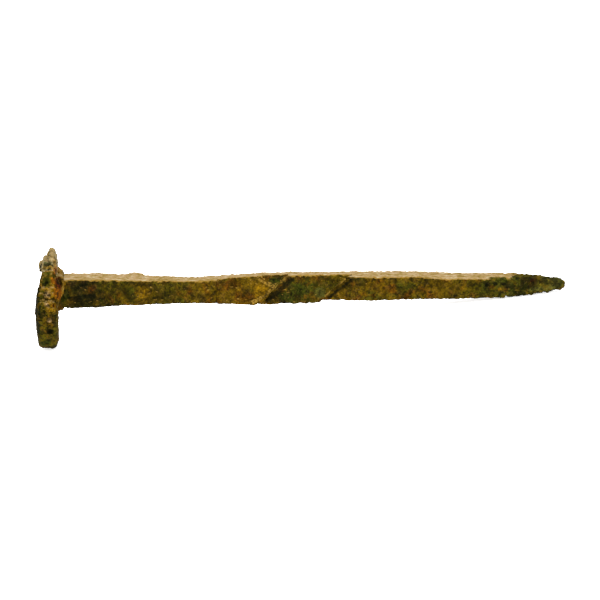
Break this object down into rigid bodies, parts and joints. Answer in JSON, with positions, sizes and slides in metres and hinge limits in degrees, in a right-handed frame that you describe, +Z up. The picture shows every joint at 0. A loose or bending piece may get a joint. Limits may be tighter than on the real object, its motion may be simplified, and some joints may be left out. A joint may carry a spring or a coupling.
{
  "type": "hand-forged round-headed iron spike",
  "caption": "Heavily rusted hand-forged iron spike: thick round head with split leaves, slim tapered square shank, blunt crusted point.",
  "frame": {"origin": "bottom centre of the bounding box, under the lowest hammered flat of the head's rim", "axes": "+X along the shank from the head to the point, +Z up, front (with the laps) towards -Y"},
  "size_m": [0.159, 0.0326, 0.0297],
  "materials": {
    "rusted_iron": "pitted dark olive-brown rust with tan dust on its upper faces",
    "split_iron": "pale tan, flaking, bleached rust",
    "rust_scale": "golden-brown scale with worn pale edges",
    "mineral_crust": "lumpy dark green-grey corrosion crust"
  },
  "bodies": {
    "root": {"shank": "rusted_iron", "head": "rusted_iron", "head_inner_leaf": "split_iron", "head_outer_leaf": "split_iron", "head_face_scale": "rust_scale", "first_lap": "rust_scale", "second_lap": "rust_scale", "top_blister": "rust_scale", "point_crust": "mineral_crust"}
  },
  "joints": []
}
